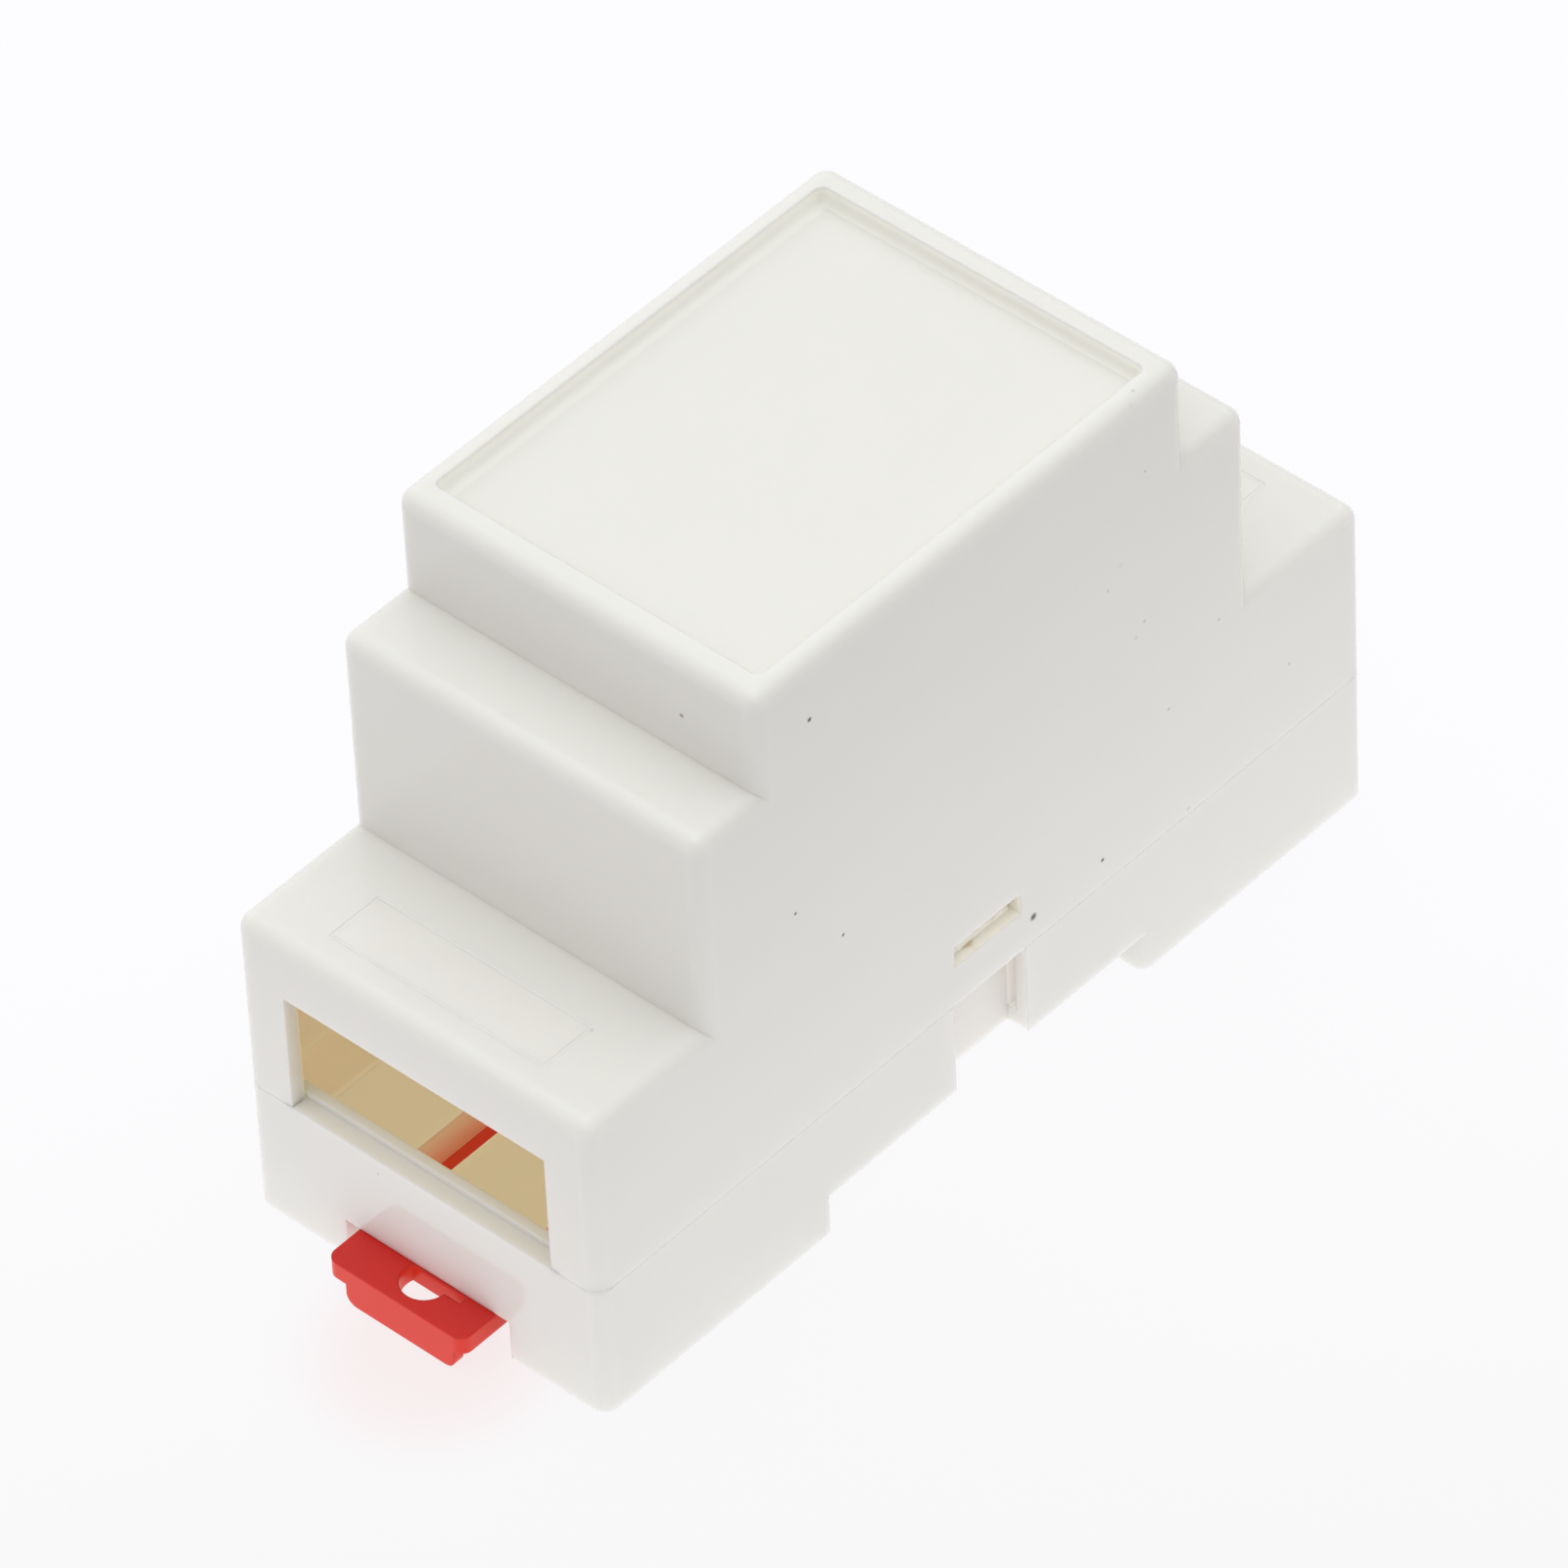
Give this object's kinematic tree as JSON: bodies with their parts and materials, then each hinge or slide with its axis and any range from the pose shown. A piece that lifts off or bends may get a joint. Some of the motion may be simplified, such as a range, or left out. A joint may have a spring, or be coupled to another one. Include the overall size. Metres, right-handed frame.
{
  "type": "din rail enclosure",
  "caption": "Stepped plastic enclosure whose cover snaps over its base, with end windows for cables and a sliding clip that holds it on a 35 mm top-hat rail.",
  "frame": {"origin": "centre of the rail seat: where the rail's middle line meets the plane that its flanges lie against, half way across the housing", "axes": "+X along the length, away from the clip's tab; +Y along the rail; +Z away from the rail, towards the top face"},
  "size_m": [0.0917, 0.036, 0.0589],
  "materials": {
    "white_plastic": "polished moulded ABS, slightly ivory",
    "red_plastic": "moulded, satin gloss"
  },
  "bodies": {
    "housing": {"cover": "white_plastic", "base": "white_plastic"},
    "clip": {"rail_clip": "red_plastic"}
  },
  "joints": [
    {"name": "clip_slide", "type": "slide", "parent": "housing", "child": "clip", "axis": [-1, 0, 0], "range_m": [0, 0.0035]}
  ]
}
